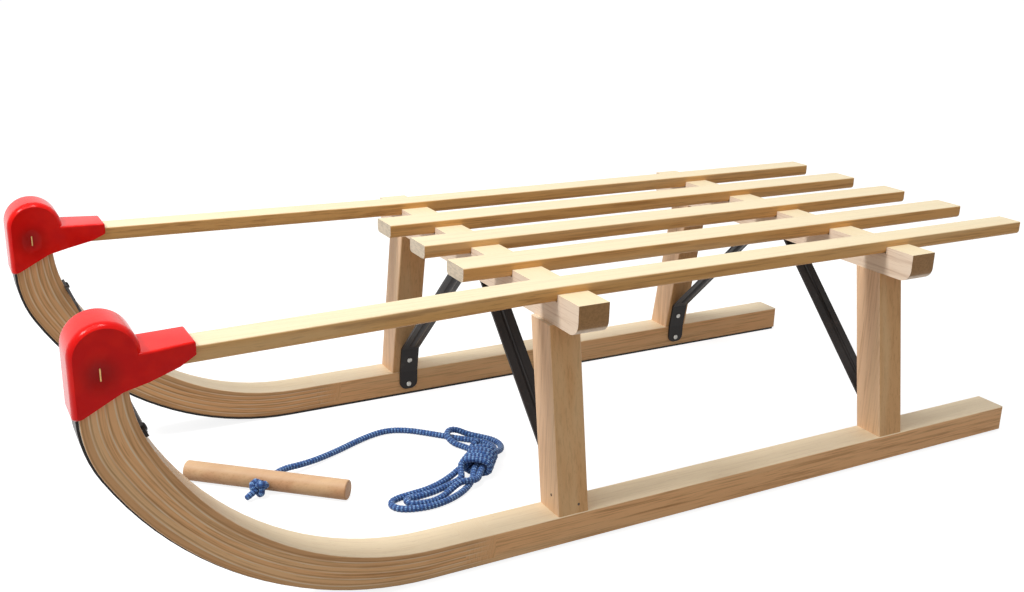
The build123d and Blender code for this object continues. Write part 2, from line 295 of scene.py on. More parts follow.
# ------------------------------------------------------------------ rope: its route
# The rope lies on the floor between the runners. Its route is drawn round a middle of its
# own, and this matrix turns it and moves it there.
ROPE_PLACE = Matrix.Translation((0.215, -0.020, 0.0)) @ Matrix.Rotation(math.radians(151.0), 4, "Z")
ROPE_RADIUS = 0.0035
ROPE_SAMPLES = 12

# From the knot in front of the handle, through its hole and over the floor to the hank.
ROPE_LEAD = [
    (-0.077, -0.064, 0.010), (-0.070, -0.029, 0.010), (-0.043, -0.002, 0.0055),
    (-0.019, 0.030, 0.0035), (0.005, 0.065, 0.0035), (0.027, 0.087, 0.0035),
    (0.050, 0.090, 0.0035), (0.073, 0.084, 0.0035), (0.100, 0.075, 0.0035),
]
# The hank's strands, in their order along the rope. The cores pass through its wrap.
UPPER_RIGHT_INNER = [
    (0.1120, 0.0715, 0.0035), (0.1270, 0.0680, 0.0035), (0.1400, 0.0635, 0.0035),
    (0.1480, 0.0540, 0.0035), (0.1490, 0.0420, 0.0050), (0.1440, 0.0300, 0.0090),
]
CORE_DOWN = [(0.1385, 0.0190, 0.0120), (0.1340, 0.0000, 0.0120)]
RIGHT_OUTER_DOWN = [
    (0.1295, -0.0160, 0.0105), (0.1290, -0.0280, 0.0060), (0.1235, -0.0440, 0.0035),
    (0.1120, -0.0635, 0.0035), (0.0960, -0.0790, 0.0035), (0.0790, -0.0870, 0.0035),
    (0.0640, -0.0895, 0.0035), (0.0545, -0.0855, 0.0035), (0.0515, -0.0765, 0.0035),
    (0.0570, -0.0680, 0.0035),
]
LEFT_OUTER_UP = [
    (0.0690, -0.0590, 0.0035), (0.0835, -0.0490, 0.0035), (0.0960, -0.0350, 0.0035),
    (0.1070, -0.0225, 0.0060), (0.1150, -0.0120, 0.0095),
]
CORE_UP = [(0.1272, 0.0025, 0.0120), (0.1318, 0.0208, 0.0110)]
UPPER_LEFT = [
    (0.1300, 0.0330, 0.0060), (0.1255, 0.0440, 0.0035), (0.1160, 0.0520, 0.0035),
    (0.1050, 0.0570, 0.0045), (0.0965, 0.0650, 0.0090), (0.0975, 0.0755, 0.0115),
    (0.1060, 0.0825, 0.0095), (0.1190, 0.0815, 0.0045), (0.1330, 0.0780, 0.0035),
    (0.1465, 0.0715, 0.0035), (0.1550, 0.0610, 0.0035), (0.1565, 0.0480, 0.0040),
    (0.1535, 0.0340, 0.0080),
]
CORE_DOWN_AGAIN = [(0.1455, 0.0185, 0.0120), (0.1410, -0.0020, 0.0120)]
RIGHT_INNER_DOWN = [
    (0.1365, -0.0180, 0.0110), (0.1345, -0.0290, 0.0070), (0.1275, -0.0370, 0.0090),
    (0.1175, -0.0420, 0.0105), (0.1085, -0.0510, 0.0060), (0.1000, -0.0640, 0.0035),
    (0.0890, -0.0740, 0.0035), (0.0770, -0.0795, 0.0045), (0.0712, -0.0806, 0.0050),
    (0.0667, -0.0762, 0.0050), (0.0666, -0.0699, 0.0042),
]
LEFT_INNER_UP = [
    (0.0715, -0.0665, 0.0035), (0.0870, -0.0560, 0.0035), (0.0985, -0.0450, 0.0035),
    (0.1085, -0.0350, 0.0040), (0.1180, -0.0280, 0.0070),
]
# The wrap that binds the hank, and the rope's way into it and out of it. Their points are
# along the wrap, across it and up.
WRAP_MIDDLE = Vector((0.1345, 0.0030, 0.0120))
WRAP_ALONG = Vector((math.cos(math.radians(77.5)), math.sin(math.radians(77.5)), 0.0))
WRAP_ACROSS = Vector((WRAP_ALONG.y, -WRAP_ALONG.x, 0.0))
WRAP_TURNS = 4.75
WRAP_PITCH = 0.0074
WRAP_START = -0.0165
WRAP_START_DEG = -60.0
WRAP_HALF_WIDTHS = (0.0150, 0.0122)
WRAP_HALF_HEIGHT = 0.0085
WRAP_SQUARENESS = 0.82
POINTS_PER_TURN = 16
WRAP_LEAD_IN = [(-0.0255, -0.0125, 0.0095), (-0.0205, -0.0145, 0.0135)]
WRAP_STUB = [
    (0.0195, -0.0135, 0.0085), (0.0215, -0.0145, 0.0140),
    (0.0250, -0.0120, 0.0185), (0.0300, -0.0085, 0.0195),
]


def wrap_point(along, across, height):
    """A point of the wrap in its own directions, in the rope's plane."""
    flat = WRAP_MIDDLE + WRAP_ALONG * along + WRAP_ACROSS * across
    return (flat.x, flat.y, height)


def squared(value):
    """Sine or cosine made fuller, so that the turns lie flat on top."""
    return math.copysign(abs(value) ** WRAP_SQUARENESS, value)


def wrap_turns():
    """The turns that bind the hank, from its lower end up."""
    points = []
    steps = int(WRAP_TURNS * POINTS_PER_TURN)
    for step in range(steps + 1):
        turn = step / POINTS_PER_TURN
        angle = math.radians(WRAP_START_DEG + 360.0 * turn)
        share = turn / WRAP_TURNS
        width = WRAP_HALF_WIDTHS[0] * (1 - share) + WRAP_HALF_WIDTHS[1] * share
        points.append(wrap_point(
            WRAP_START + WRAP_PITCH * turn,
            width * squared(math.sin(angle)),
            WRAP_MIDDLE.z + WRAP_HALF_HEIGHT * squared(math.cos(angle)),
        ))
    return points


# The stopper knot: an overhand knot in front of the handle, with its short tail.
KNOT_MIDDLE = Vector((-0.0774, -0.0661, 0.0105))
KNOT_SIZE = 0.0024
KNOT_DEPTH = 1.1
KNOT_RADIUS = 0.0033
KNOT_POINTS = 22
KNOT_START_TURN = 0.06
KNOT_TURN = 0.90
KNOT_TAIL = [(-0.0835, -0.0715, 0.0060), (-0.0875, -0.0775, 0.0045)]


def knot_route():
    """Centre line of the overhand knot, then its tail."""
    points = []
    for step in range(KNOT_POINTS):
        turn = 2 * math.pi * (KNOT_START_TURN + KNOT_TURN * step / (KNOT_POINTS - 1))
        points.append((
            KNOT_MIDDLE.x + KNOT_SIZE * (math.sin(turn) + 2 * math.sin(2 * turn)),
            KNOT_MIDDLE.y + KNOT_SIZE * KNOT_DEPTH * math.sin(3 * turn),
            KNOT_MIDDLE.z + KNOT_SIZE * (math.cos(turn) - 2 * math.cos(2 * turn)),
        ))
    return points + KNOT_TAIL


# ------------------------------------------------------------------ rope: its braid
BRAID_CELLS = 6
BRAID_CELL_LENGTH = 0.0074
BRAID_RELIEF = 0.00042
BRAID_SUNK = 0.9
BRAID_RING = 30
BRAID_STEP = 0.00105
BRAID_TIP = 0.8
BRAID_END_RISE = 0.25


def braid_ring(bm, point, side, other, way, radius, narrow):
    """One ring of the rope, with the crossing strands in relief."""
    along = 2 * math.pi * way / BRAID_CELL_LENGTH
    ring = []
    for spoke in range(BRAID_RING):
        angle = 2 * math.pi * spoke / BRAID_RING
        weave = math.sin(BRAID_CELLS * angle + along) * math.sin(BRAID_CELLS * angle - along)
        out = (radius + BRAID_RELIEF * (weave - BRAID_SUNK)) * narrow
        ring.append(bm.verts.new(point + (side * math.cos(angle) + other * math.sin(angle)) * out))
    return ring


def join_rings(bm, layer, near, far, near_way, far_way):
    """Faces from one ring to the next, with the weave's coordinates."""
    for spoke in range(BRAID_RING):
        following = (spoke + 1) % BRAID_RING
        face = bm.faces.new((near[spoke], near[following], far[following], far[spoke]))
        face.smooth = True
        turns = (spoke, spoke + 1, spoke + 1, spoke)
        ways = (near_way, near_way, far_way, far_way)
        for loop, turn, way in zip(face.loops, turns, ways):
            loop[layer].uv = (way / BRAID_CELL_LENGTH, turn / BRAID_RING * BRAID_CELLS)


def close_end(bm, layer, ring, way, hub_at):
    """A low cone over the rope's end."""
    hub = bm.verts.new(hub_at)
    for spoke in range(BRAID_RING):
        face = bm.faces.new((ring[spoke], ring[(spoke + 1) % BRAID_RING], hub))
        for loop in face.loops:
            loop[layer].uv = (way / BRAID_CELL_LENGTH, 0.0)


def braided_tube(name, path, radius):
    """A braided rope round a path: a tube with crossing strands in relief."""
    line, length = even_steps(path, BRAID_STEP)
    bm = bmesh.new()
    layer = bm.loops.layers.uv.new("braid")
    rings = []
    ways = [length * index / (len(line) - 1) for index in range(len(line))]
    for (point, side, other), way in zip(across_line(line), ways):
        from_end = min(way, length - way)
        narrow = 1.0 - (1.0 - BRAID_TIP) * max(0.0, 1.0 - from_end / radius) ** 2
        rings.append(braid_ring(bm, point, side, other, way, radius, narrow))
    for near, far, near_way, far_way in zip(rings, rings[1:], ways, ways[1:]):
        join_rings(bm, layer, near, far, near_way, far_way)
    rise = radius * BRAID_END_RISE
    close_end(bm, layer, rings[0], ways[0], line[0] - (line[1] - line[0]).normalized() * rise)
    close_end(bm, layer, rings[-1], ways[-1], line[-1] + (line[-1] - line[-2]).normalized() * rise)
    bmesh.ops.recalc_face_normals(bm, faces=bm.faces)
    return add_drawn(name, bm)


# Painted shade: the braid is painted darker in the grooves between strands, where the weave is low.
BRAID_GROOVE_PAINTED_SHADE = (0.004, 0.020, 0.110)
BRAID_BLUE = (0.028, 0.125, 0.400)
BRAID_FLECK = (0.34, 0.58, 0.86)
BRAID_GROOVE_SHADE_SPAN = (-0.7, 0.3)
BRAID_FLECK_FROM = (0.30, 0.60)
BRAID_FLECKED = (0.44, 0.56)
BRAID_ROUGHNESS = (0.55, 0.75)
BRAID_SHEEN = 0.25


def braid_material():
    """Blue braided polypropylene with pale flecks where a strand lies on top, and painted shade in the
    grooves between strands.
    """
    graph = Graph("blue_braid")
    along, around, _ = graph.parts(graph.node("ShaderNodeUVMap", uv_map="braid").outputs[0])
    along = graph.times(along, 2 * math.pi)
    around = graph.times(around, 2 * math.pi)
    left = graph.math("SINE", graph.plus(around, along))
    right = graph.math("SINE", graph.minus(around, along))
    weave = graph.times(left, right)
    place = graph.position()
    vary = graph.noise(place, detail=2.0, roughness=0.6, scale=420.0)
    fuzz = graph.noise(place, detail=2.0, roughness=0.7, scale=5200.0)
    base = graph.blend(graph.span(weave, *BRAID_GROOVE_SHADE_SPAN), BRAID_GROOVE_PAINTED_SHADE, BRAID_BLUE)
    fleck = graph.times(graph.span(weave, *BRAID_FLECK_FROM), graph.span(vary, *BRAID_FLECKED))
    graph.surface(
        Base_Color=graph.blend(fleck, base, BRAID_FLECK),
        Roughness=graph.span(fuzz, *NOISE_MIDDLE, *BRAID_ROUGHNESS),
        Sheen_Weight=BRAID_SHEEN,
    )
    graph.bump(fuzz, distance=0.00015, strength=0.5)
    return graph.material


blue_braid = braid_material()
rope_route = (
    ROPE_LEAD + UPPER_RIGHT_INNER + CORE_DOWN + RIGHT_OUTER_DOWN + LEFT_OUTER_UP + CORE_UP
    + UPPER_LEFT + CORE_DOWN_AGAIN + RIGHT_INNER_DOWN + LEFT_INNER_UP
    + [wrap_point(*point) for point in WRAP_LEAD_IN]
    + wrap_turns()
    + [wrap_point(*point) for point in WRAP_STUB]
)
rope_path = nurbs_path("rope_route", rope_route, ROPE_PLACE, ROPE_SAMPLES)
rope = braided_tube("rope_braid", rope_path, ROPE_RADIUS)
rope.data.materials.append(blue_braid)
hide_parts("pull_rope", "rope_hank")

knot_path = nurbs_path("knot_route", knot_route(), ROPE_PLACE, ROPE_SAMPLES)
knot = braided_tube("rope_knot_braid", knot_path, KNOT_RADIUS)
knot.data.materials.append(blue_braid)
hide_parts("rope_knot")

[tuple(point) for point in rope_path]

# ------------------------------------------------------------------ wood
# Painted light: faces turned up are painted paler than the sides, as if lit from above.
PAINTED_LIT_TOP = (0.87, 0.735, 0.485)
WARM_SIDE = (0.77, 0.42, 0.145)
DARK_GRAIN = (0.36, 0.155, 0.042)
PALE_FIBRE = (0.88, 0.66, 0.38)
END_GRAIN = (0.76, 0.64, 0.48)
END_RING_SHADE = 0.84
END_RINGS = (0.42, 0.62)
END_RING_STRETCH = (1.0, 0.35, 1.3)
WOOD_ROUGHNESS = (0.38, 0.52)
WOOD_SPECULAR = 0.18
AXES = {"x": 0, "y": 1, "z": 2}
# Where a face counts as turned up, turned to the front or back, and cut across the fibre.
TURNED_UP = (0.35, 0.85)
TURNED_ASIDE = (0.5, 0.8)
CUT_ACROSS = (0.80, 0.92)
# Each pattern's stretch along the fibre, then its noise's detail, roughness and scale.
PATTERNS = {
    "bands": (0.05, 2.0, 0.5, 38.0),
    "streaks": (0.035, 4.0, 0.65, 210.0),
    "fibres": (0.02, 3.0, 0.7, 1500.0),
    "flecks": (0.10, 1.0, 0.5, 1100.0),
    "hairlines": (0.025, 2.0, 0.6, 560.0),
}
# What lies over the body colour: the pattern, the noise over which it comes in, its strength
# on the sides and on top, whether a member's streaks weaken it, and its colour.
LAYERS = (
    ("streaks", (0.50, 0.74), (0.62, 0.10), True, DARK_GRAIN),
    ("hairlines", (0.52, 0.66), (0.42, 0.10), True, DARK_GRAIN),
    ("bands", (0.48, 0.70), (0.34, 0.22), False, PALE_FIBRE),
    ("flecks", (0.66, 0.74), (0.16, 0.16), False, DARK_GRAIN),
)


def fibre_noise(graph, vector, grain, pattern):
    """A pattern's noise, drawn out along the fibre."""
    along, detail, roughness, scale = PATTERNS[pattern]
    stretch = [1.0, 1.0, 1.0]
    stretch[AXES[grain]] = along
    return graph.noise(graph.stretch(vector, stretch), detail, roughness, scale)


def wood_colour(graph, vector, grain, side=WARM_SIDE, top=PAINTED_LIT_TOP, end=END_GRAIN, front=None,
                streaks=1.0):
    """Beech in the given coordinates: sets its gloss and bump, and gives its colour, with painted light:
    faces turned up take the paler top colour.
    """
    facing = graph.facing()
    noise = {pattern: fibre_noise(graph, vector, grain, pattern) for pattern in PATTERNS}
    lift = graph.span(facing[2], *TURNED_UP)
    ahead = graph.span(graph.absolute(facing[0]), *TURNED_ASIDE)
    # Painted light: the top colour on faces turned up, the front colour on front and back faces.
    body = graph.blend(lift, graph.blend(ahead, side, front or side), top)
    for pattern, comes_in, strengths, weakened, colour in LAYERS:
        weight = streaks if weakened else 1.0
        strength = graph.span(lift, 0.0, 1.0, *(part * weight for part in strengths))
        shown = graph.times(graph.span(noise[pattern], *comes_in), strength)
        body = graph.blend(shown, body, colour)
    rings = graph.noise(graph.stretch(vector, END_RING_STRETCH), detail=3.0, roughness=0.6, scale=420.0)
    shaded_end = tuple(part * END_RING_SHADE for part in end)
    end_colour = graph.blend(graph.span(rings, *END_RINGS), end, shaded_end)
    cut = graph.span(graph.absolute(facing[AXES[grain]]), *CUT_ACROSS)
    body = graph.blend(cut, body, end_colour)
    graph.surface(
        Roughness=graph.span(noise["fibres"], *NOISE_MIDDLE, *WOOD_ROUGHNESS),
        Specular_IOR_Level=WOOD_SPECULAR,
    )
    height = graph.plus(noise["fibres"], graph.times(noise["streaks"], 0.5))
    graph.bump(height, distance=0.00012, strength=0.5)
    return body


def beech(name, grain, **tones):
    """Planed beech whose fibre runs along one axis."""
    graph = Graph(name)
    graph.surface(Base_Color=wood_colour(graph, graph.position(), grain, **tones))
    return graph.material


def assign(node_name, material):
    """Give a CAD node its finished material."""
    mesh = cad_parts[node_name].data
    mesh.materials.clear()
    mesh.materials.append(material)


slat_wood = beech("slat_beech", "x")
for name in ("slat_left", "slat_center", "slat_right", "rail_left", "rail_right"):
    assign(name, slat_wood)
# Painted light: the posts' front and back faces are painted paler than their sides.
post_wood = beech("post_beech", "z", side=(0.73, 0.41, 0.18), front=(0.93, 0.62, 0.39), streaks=0.55)
for end in ENDS:
    for side in SIDES:
        assign(f"post_{end}_{side}", post_wood)
# The bearers' end faces are painted dark brown: partly the end grain's own darker tone, partly painted
# shade.
bearer_wood = beech("bearer_beech", "y", side=(0.93, 0.75, 0.58), end=(0.42, 0.225, 0.090), streaks=0.5)
for end in ENDS:
    assign(f"bearer_{end}", bearer_wood)

# ------------------------------------------------------------------ laminated runners
NOSE_BEHIND_CAP = 0.0045
HORN_THICK = 0.0345
NOSE_X = cad_bounds[1][0] - NOSE_BEHIND_CAP
PLIES = 6
PLY_START_X = 0.165
PLY_FULL_X = 0.195
GLUE_SHARE = 0.15
PLY_WANDER = 0.9
PLY_WANDER_PER_M = 5.0
PLY_WANDER_PER_DEPTH = 2.0
GLUE_PATCHES_PER_M = 30.0
GLUE_PATCHES_PER_DEPTH = 9.0
GLUE_PATCHES = (0.35, 0.65, 0.35, 1.0)
# Where the dark seam beside a glue line comes in and goes out, in widths of that line.
SEAM_COMES_IN = (0.8, 1.4)
SEAM_GOES_OUT = (1.6, 2.6)
LEAST_THICKNESS = 0.001
# How much further along each ply's grain is taken than its neighbour's.
PLY_GRAIN_SHIFT = 0.37
# Steps in a noise that give each ply a tint of its own.
PLY_TINT_STEP = 7.31
RUNNER_SIDE = (0.90, 0.505, 0.235)
# Painted light: the runners' top faces are painted paler than their sides.
RUNNER_TOP = (0.95, 0.79, 0.55)
PLY_TINT = (0.50, 0.27, 0.12)
PLY_TINTED = (0.35, 0.65)
PLY_TINT_STRENGTH = 0.50
SEAM_SHADE = (0.30, 0.15, 0.06)
SEAM_STRENGTH = 0.45
GLUE_PALE = (0.90, 0.72, 0.50)
GLUE_STRENGTH = 0.85


class BentEdge:
    """A runner's edge: flat, then two arcs, then upright at end_x."""

    def __init__(self, low_z, first_radius, first_deg, second_radius, end_x):
        share = math.sin(math.radians(first_deg))
        drop = math.cos(math.radians(first_deg))
        self.radii = (first_radius, second_radius)
        self.joint = math.radians(first_deg)
        bend_x = end_x - first_radius * share - second_radius * (1 - share)
        self.first = (bend_x, low_z + first_radius)
        gap = first_radius - second_radius
        self.second = (bend_x + gap * share, low_z + first_radius - gap * drop)

    def reach(self, graph, x, z):
        """Distance from the arcs' centres less the radius, and the way along the edge."""
        (x1, z1), (x2, z2), (r1, r2) = self.first, self.second, self.radii
        right1 = graph.math("MAXIMUM", graph.minus(x, x1), 0.0)
        down1 = graph.minus(z1, z)
        right2 = graph.minus(x, x2)
        below2 = graph.minus(z2, z)
        down2 = graph.math("MAXIMUM", below2, 0.0)
        tangent = graph.minus(graph.times(right2, math.cos(self.joint)),
                              graph.times(below2, math.sin(self.joint)))
        past = graph.math("GREATER_THAN", tangent, 0.0)
        depth1 = graph.minus(graph.hypot(right1, down1), r1)
        depth2 = graph.minus(graph.hypot(right2, down2), r2)
        angle1 = graph.math("ARCTAN2", right1, down1)
        angle2 = graph.math("ARCTAN2", right2, down2)
        way1 = graph.plus(graph.math("MINIMUM", x, x1), graph.times(angle1, r1))
        way2 = graph.plus(graph.times(angle2, r2), x1 + self.joint * (r1 - r2))
        return graph.choose(past, depth1, depth2), graph.choose(past, way1, way2)


LOWER_EDGE = BentEdge(low_z=0.002, first_radius=0.293, first_deg=60.5, second_radius=0.100,
                      end_x=NOSE_X)
UPPER_EDGE = BentEdge(low_z=0.030, first_radius=0.255, first_deg=63.0, second_radius=0.125,
                      end_x=NOSE_X - HORN_THICK)


def laminated(name):
    """Beech bent from glued plies, whose joints show along the curved front."""
    graph = Graph(name)
    x, y, z = graph.parts(graph.position())
    below, way = LOWER_EDGE.reach(graph, x, z)
    above, _ = UPPER_EDGE.reach(graph, x, z)
    depth = graph.times(below, -1.0)
    thickness = graph.math("MAXIMUM", graph.plus(depth, above), LEAST_THICKNESS)
    share = graph.math("DIVIDE", depth, thickness)

    def along_plies(per_m, per_depth):
        return graph.combine(graph.times(way, per_m), graph.times(share, per_depth), y)

    wander = graph.noise(along_plies(PLY_WANDER_PER_M, PLY_WANDER_PER_DEPTH), detail=1.0)
    plies = graph.plus(graph.times(share, PLIES), graph.times(graph.minus(wander, 0.5), PLY_WANDER))
    ply = graph.math("FLOOR", plies)
    within = graph.math("FRACT", plies)
    edge = graph.math("MINIMUM", within, graph.minus(1.0, within))
    patchy = graph.noise(along_plies(GLUE_PATCHES_PER_M, GLUE_PATCHES_PER_DEPTH), detail=2.0)
    glue = graph.times(graph.span(edge, 0.0, GLUE_SHARE, 1.0, 0.0),
                       graph.span(patchy, *GLUE_PATCHES))
    comes_in = [GLUE_SHARE * widths for widths in SEAM_COMES_IN]
    goes_out = [GLUE_SHARE * widths for widths in SEAM_GOES_OUT]
    seam = graph.times(graph.span(within, *comes_in), graph.span(within, *goes_out, 1.0, 0.0))
    shown = graph.span(x, PLY_START_X, PLY_FULL_X)
    shown_side = graph.times(shown, graph.span(graph.absolute(graph.facing()[1]), *TURNED_ASIDE))
    shift = graph.times(graph.times(ply, shown), PLY_GRAIN_SHIFT)
    vector = graph.combine(graph.plus(way, shift), y, graph.plus(depth, shift))
    wood = wood_colour(graph, vector, "x", side=RUNNER_SIDE, top=RUNNER_TOP)
    tint = graph.noise(graph.combine(graph.times(ply, PLY_TINT_STEP), 0.5, 0.5), detail=0.0)
    for pattern, strength, colour in (
        (graph.span(tint, *PLY_TINTED), PLY_TINT_STRENGTH, PLY_TINT),
        (seam, SEAM_STRENGTH, SEAM_SHADE),
        (glue, GLUE_STRENGTH, GLUE_PALE),
    ):
        wood = graph.blend(graph.times(pattern, graph.times(shown_side, strength)), wood, colour)
    graph.surface(Base_Color=wood)
    return graph.material


runner_wood = laminated("laminated_beech")
for side in SIDES:
    assign(f"runner_{side}", runner_wood)

# ------------------------------------------------------------------ plastic and steel
STAPLE_BACK = 0.021
STAPLE_DROP = 0.037
cap_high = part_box("horn_cap_left")[1]
DIMPLE_X = cap_high[0] - STAPLE_BACK
DIMPLE_Z = cap_high[2] - STAPLE_DROP
CAP_RED = (0.78, 0.004, 0.003)
CAP_RED_PALER = (0.88, 0.009, 0.004)
# Painted shade: the caps' side faces are painted darker round each staple's dent.
DENT_PAINTED_SHADE = (0.30, 0.006, 0.003)
DENT_PAINTED_SHADE_RADII = (0.003, 0.020)
DENT_PAINTED_SHADE_STRENGTH = 0.62
CAP_CLOUDS = (0.35, 0.70)
CAP_SIDE = (0.6, 0.9)
CAP_ROUGHNESS = (0.40, 0.50)
STEEL_RUBBED = (0.55, 0.75)
STEEL_SPECULAR = 0.20
STEEL_ROUGHNESS_SPREAD = 0.14


def red_plastic():
    """Moulded satin plastic with a faint flow texture, and painted shade round the staples' dents."""
    graph = Graph("red_plastic")
    vector = graph.position()
    x, _, z = graph.parts(vector)
    cloud = graph.noise(vector, detail=3.0, roughness=0.5, scale=60.0)
    pebble = graph.noise(vector, detail=2.0, roughness=0.6, scale=2400.0)
    body = graph.blend(graph.span(cloud, *CAP_CLOUDS), CAP_RED, CAP_RED_PALER)
    away = graph.hypot(graph.minus(x, DIMPLE_X), graph.minus(z, DIMPLE_Z))
    # Painted shade, strongest at the dent's middle and fading outwards, on side faces only.
    shade = graph.times(graph.span(away, *DENT_PAINTED_SHADE_RADII, DENT_PAINTED_SHADE_STRENGTH, 0.0),
                        graph.span(graph.absolute(graph.facing()[1]), *CAP_SIDE))
    graph.surface(
        Base_Color=graph.blend(shade, body, DENT_PAINTED_SHADE),
        Roughness=graph.span(pebble, *NOISE_MIDDLE, *CAP_ROUGHNESS),
        Specular_IOR_Level=0.0,
        Coat_Weight=1.0,
        Coat_IOR=1.22,
        Coat_Roughness=0.20,
        Subsurface_Weight=0.05,
        Subsurface_Radius=(0.004, 0.001, 0.001),
    )
    graph.bump(pebble, distance=0.00005, strength=0.4)
    return graph.material


def steel(name, colour, rub, rough, metallic):
    """Painted or bare steel with rubbed places and fine pitting."""
    graph = Graph(name)
    vector = graph.position()
    patch = graph.noise(vector, detail=4.0, roughness=0.6, scale=45.0)
    pits = graph.noise(vector, detail=2.0, roughness=0.5, scale=1800.0)
    graph.surface(
        Base_Color=graph.blend(graph.span(patch, *STEEL_RUBBED), colour, rub),
        Roughness=graph.span(pits, *NOISE_MIDDLE, rough, rough + STEEL_ROUGHNESS_SPREAD),
        Metallic=metallic,
        Specular_IOR_Level=STEEL_SPECULAR,
    )
    graph.bump(pits, distance=0.00006, strength=0.5)
    return graph.material


cap_red = red_plastic()
black_paint = steel("black_paint", colour=(0.028, 0.024, 0.023), rub=(0.055, 0.047, 0.043),
                    rough=0.30, metallic=0.0)
bright_zinc = steel("bright_zinc", colour=(0.50, 0.49, 0.46), rub=(0.36, 0.35, 0.33),
                    rough=0.30, metallic=1.0)
brass_wire = steel("brass_wire", colour=(0.62, 0.40, 0.16), rub=(0.34, 0.20, 0.09),
                   rough=0.35, metallic=1.0)
dull_iron = steel("dull_iron", colour=(0.10, 0.075, 0.055), rub=(0.18, 0.13, 0.09),
                  rough=0.50, metallic=1.0)
for side in SIDES:
    assign(f"runner_shoe_{side}", black_paint)
    for end in ENDS:
        assign(f"brace_{end}_{side}", black_paint)
assign("front_strap", black_paint)
# Painted light: the handle's top is painted paler than its sides.
handle_wood = beech("handle_beech", "x", side=(0.62, 0.35, 0.185), top=(0.66, 0.42, 0.245), streaks=0.6)
assign("pull_handle", handle_wood)

# ------------------------------------------------------------------ caps with pressed dimples, staples
CROWN_LENGTH = 0.030
DIMPLE_HALF_WIDTH = 0.0095
DIMPLE_HALF_HEIGHT = 0.0125
DIMPLE_DEPTH = 0.0022
DIMPLE_CUT = 0.00115


def side_faces(side):
    """The y of a cap's two side faces where its staples sit."""
    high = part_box(f"horn_cap_{side}")[1]
    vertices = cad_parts[f"horn_cap_{side}"].data.vertices
    crown = [vertex.co.y for vertex in vertices if vertex.co.x > high[0] - CROWN_LENGTH]
    return min(crown), max(crown)


def cut_grid(bm, faces_y):
    """Cut the cap's side faces into a fine grid where the dimples go."""
    cuts = (
        (DIMPLE_X, DIMPLE_HALF_WIDTH, Vector((1, 0, 0))),
        (DIMPLE_Z, DIMPLE_HALF_HEIGHT, Vector((0, 0, 1))),
    )
    for middle, half, normal in cuts:
        count = math.ceil(half / DIMPLE_CUT) + 1
        for step in range(-count, count + 1):
            at = middle + step * DIMPLE_CUT
            flat = [face for face in bm.faces
                    if any(abs(face.calc_center_median().y - y) < ON_PLANE for y in faces_y)]
            geom = set(flat)
            for face in flat:
                geom.update(face.edges)
                geom.update(face.verts)
            bmesh.ops.bisect_plane(bm, geom=list(geom), dist=MERGE_GAP, plane_co=normal * at,
                                   plane_no=normal)


def press_dimples(bm, faces_y):
    """Press an oval dent into each side face."""
    for vertex in bm.verts:
        for y, inward in zip(faces_y, (1, -1)):
            if abs(vertex.co.y - y) > ON_PLANE:
                continue
            along = (vertex.co.x - DIMPLE_X) / DIMPLE_HALF_WIDTH
            up = (vertex.co.z - DIMPLE_Z) / DIMPLE_HALF_HEIGHT
            share = max(0.0, 1.0 - along * along - up * up)
            vertex.co.y += inward * DIMPLE_DEPTH * share * share
            break


def dimpled_cap(side):
    """The horn cap with the oval dent that the staple pulls into each side."""
    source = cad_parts[f"horn_cap_{side}"].data
    bm = bmesh.new()
    verts = [bm.verts.new(vertex.co) for vertex in source.vertices]
    for polygon in source.polygons:
        bm.faces.new([verts[index] for index in polygon.vertices])
    bmesh.ops.remove_doubles(bm, verts=bm.verts, dist=MERGE_GAP)
    bmesh.ops.recalc_face_normals(bm, faces=bm.faces)
    faces_y = side_faces(side)
    cut_grid(bm, faces_y)
    press_dimples(bm, faces_y)
    cap = add_drawn(f"horn_cap_dimpled_{side}", bm)
    shade_smooth(cap.data)
    cap.data.materials.append(cap_red)
    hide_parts(f"horn_cap_{side}")


STAPLE_HALF = 0.0046
STAPLE_WIRE = 0.00062
STAPLE_SINK = 0.0006
STAPLE_RISE = 0.0009
# How far up the staple its crown bends down into its legs.
STAPLE_BEND = 0.8
STAPLE_SAMPLES = 6
STAPLE_SIDES = 10


def staple(name, points):
    """A round brass wire along a smooth line of a few points."""
    path = nurbs_path(name, points, Matrix.Identity(4), STAPLE_SAMPLES)
    bm = bmesh.new()
    turns = [2 * math.pi * k / STAPLE_SIDES for k in range(STAPLE_SIDES)]
    rings = []
    for point, side, other in across_line(path):
        rings.append([bm.verts.new(point + STAPLE_WIRE * (side * math.cos(turn) + other * math.sin(turn)))
                      for turn in turns])
    for near, far in zip(rings, rings[1:]):
        for k in range(STAPLE_SIDES):
            following = (k + 1) % STAPLE_SIDES
            bm.faces.new((near[k], near[following], far[following], far[k]))
    bm.faces.new(reversed(rings[0]))
    bm.faces.new(rings[-1])
    bmesh.ops.recalc_face_normals(bm, faces=bm.faces)
    wire = add_drawn(name, bm)
    shade_smooth(wire.data)
    wire.data.materials.append(brass_wire)


for side in SIDES:
    dimpled_cap(side)
    for face_y, outward, label in zip(side_faces(side), (-1, 1), ("right", "left")):
        sunk = face_y - outward * (DIMPLE_DEPTH + STAPLE_SINK)
        crown = face_y - outward * (DIMPLE_DEPTH - STAPLE_RISE)
        bends = ((sunk, -1), (crown, -1), (crown, -STAPLE_BEND), (crown, 0),
                 (crown, STAPLE_BEND), (crown, 1), (sunk, 1))
        staple(f"cap_staple_{side}_on_{label}",
               [(DIMPLE_X, y, DIMPLE_Z + up * STAPLE_HALF) for y, up in bends])

# ------------------------------------------------------------------ steel shoes
SHOE_EDGE_GAP = 0.0004


def inner_edge(node_name):
    """The y of a node's side that is nearest to the middle of the sled."""
    return min((corner[1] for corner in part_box(node_name)), key=abs)


